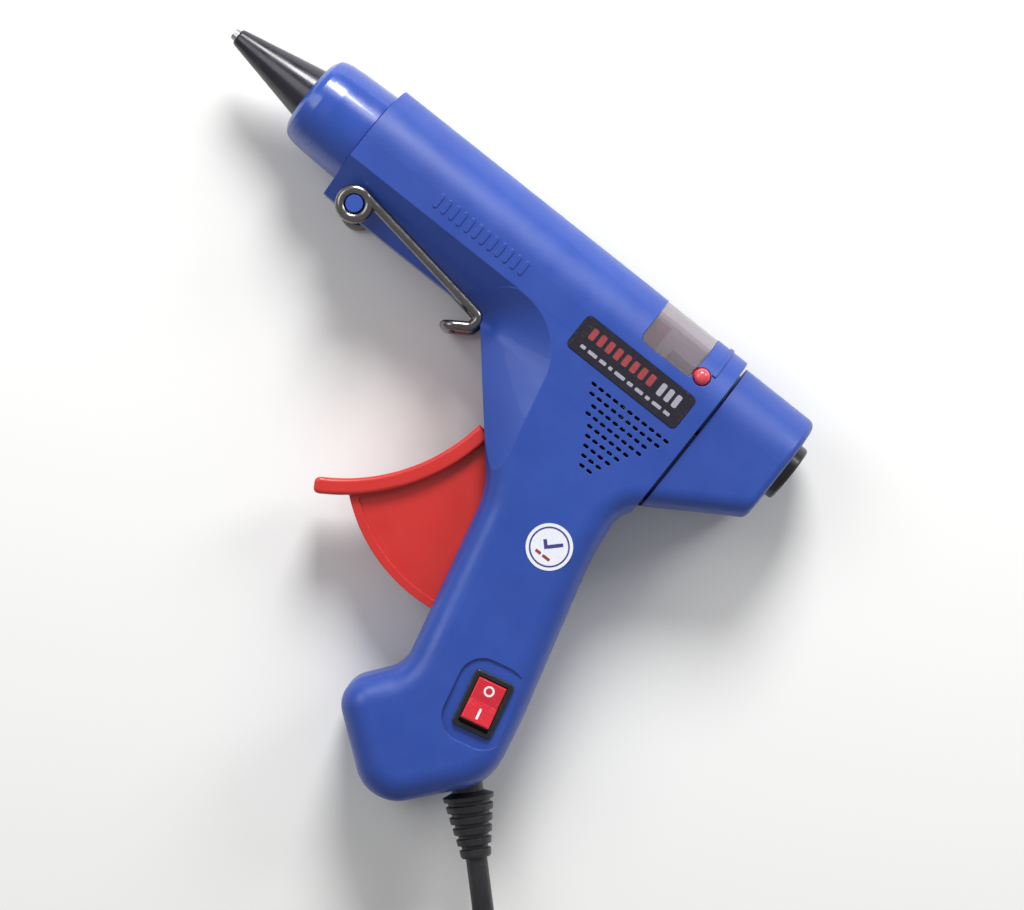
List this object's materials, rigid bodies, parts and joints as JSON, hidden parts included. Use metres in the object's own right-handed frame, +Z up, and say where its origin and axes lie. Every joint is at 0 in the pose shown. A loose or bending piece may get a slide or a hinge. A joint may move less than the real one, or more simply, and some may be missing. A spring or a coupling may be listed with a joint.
{
  "type": "hot-melt glue gun",
  "caption": "Blue pistol-grip hot-melt glue gun for 11 mm sticks, with a red trigger, a rocker switch, a sight window, a fold-out wire stand and a coiled mains cord.",
  "frame": {"origin": "ground point under the middle of the gun, which lies on its right side, without its cord", "axes": "+X from the nozzle to the stick inlet, +Y from the grip up to the barrel, +Z up, out of the gun's left side"},
  "size_m": [0.252, 0.2768, 0.0344],
  "materials": {
    "blue_housing": "fine matt grain, blue",
    "blue_collar": "smooth blue",
    "red_trigger": "satin red",
    "dark_red_slide": "dark red, moulded",
    "black_silicone": "soft sheen",
    "black_plastic": "fine grain",
    "smoky_window": "polished, smoky",
    "red_lamp": "clear red",
    "red_rocker": "polished red",
    "label_black": "printed film",
    "sticker_white": "paper film",
    "nickel_wire": "nickel plated",
    "brass": "turned",
    "aluminium": "cast, tumbled",
    "steel": "zinc plated",
    "ceramic": "amber film over ceramic",
    "fibre_ring": "pressed fibre",
    "clear_sleeve": "soft vinyl",
    "silicone_red": "soft silicone",
    "cord_black": "vinyl jacket",
    "wire_white": "braided sleeve"
  },
  "bodies": {
    "housing": {"left_shell": "blue_housing", "right_shell": "blue_housing", "rear_cap": "blue_housing", "front_collar": "blue_collar", "housing_screws": "steel", "nozzle_tip": "brass", "nozzle_sleeve": "black_silicone", "melting_chamber": "aluminium", "ptc_element": "ceramic", "heater_wedge": "steel", "insulator_ring": "fibre_ring", "stick_seal": "silicone_red", "seal_clamp": "steel", "inlet_bush": "black_plastic", "trigger_pin": "steel", "return_spring": "steel", "inspection_window": "smoky_window", "indicator_led": "red_lamp", "led_leads": "steel", "led_resistor": "ceramic", "label_plate": "label_black", "inspection_sticker": "sticker_white", "switch_body": "black_plastic", "switch_terminals": "brass", "terminal_sleeves": "clear_sleeve", "strain_relief": "cord_black", "cord_lead_in": "cord_black", "cord_clamp": "black_plastic", "clamp_screws": "steel", "heater_wires": "wire_white", "mains_cord": "cord_black", "cord_coil": "cord_black", "cord_tie": "black_plastic", "cord_tail": "cord_black", "plug_body": "cord_black", "plug_pins": "brass"},
    "trigger": {"trigger": "red_trigger"},
    "carriage": {"feed_carriage": "dark_red_slide", "jaw_pin": "steel"},
    "jaw": {"grip_jaw": "steel"},
    "rocker": {"switch_rocker": "red_rocker"},
    "stand": {"wire_stand": "nickel_wire"}
  },
  "joints": [
    {"name": "trigger_pull", "type": "hinge", "parent": "housing", "child": "trigger", "pos_m": [0.03705, 0.01829, 0.017], "axis": [0, 0, 1], "range_deg": [0, 30], "stiffness_Nm_per_rad": 0.4, "springref_deg": -8.59, "deforming": ["return_spring"]},
    {"name": "carriage_feed", "type": "slide", "parent": "housing", "child": "carriage", "axis": [-1, 0, 0], "range_m": [0, 0.0161]},
    {"name": "jaw_bite", "type": "hinge", "parent": "carriage", "child": "jaw", "pos_m": [0.04105, 0.06969, 0.017], "axis": [0, 0, 1], "range_deg": [0, 5.1]},
    {"name": "rocker_switch", "type": "hinge", "parent": "housing", "child": "rocker", "pos_m": [0.07105, -0.04051, 0.0296], "axis": [0.9744, 0.225, 0], "range_deg": [0, 16]},
    {"name": "stand_fold", "type": "hinge", "parent": "housing", "child": "stand", "pos_m": [-0.04155, 0.04459, 0.017], "axis": [0, 0, -1], "range_deg": [0, 110]}
  ],
  "couplings": [
    {"joint": "carriage_feed", "follows": "trigger_pull", "m_per_rad": 0.03069},
    {"joint": "jaw_bite", "follows": "trigger_pull", "ratio": 0.1667}
  ]
}
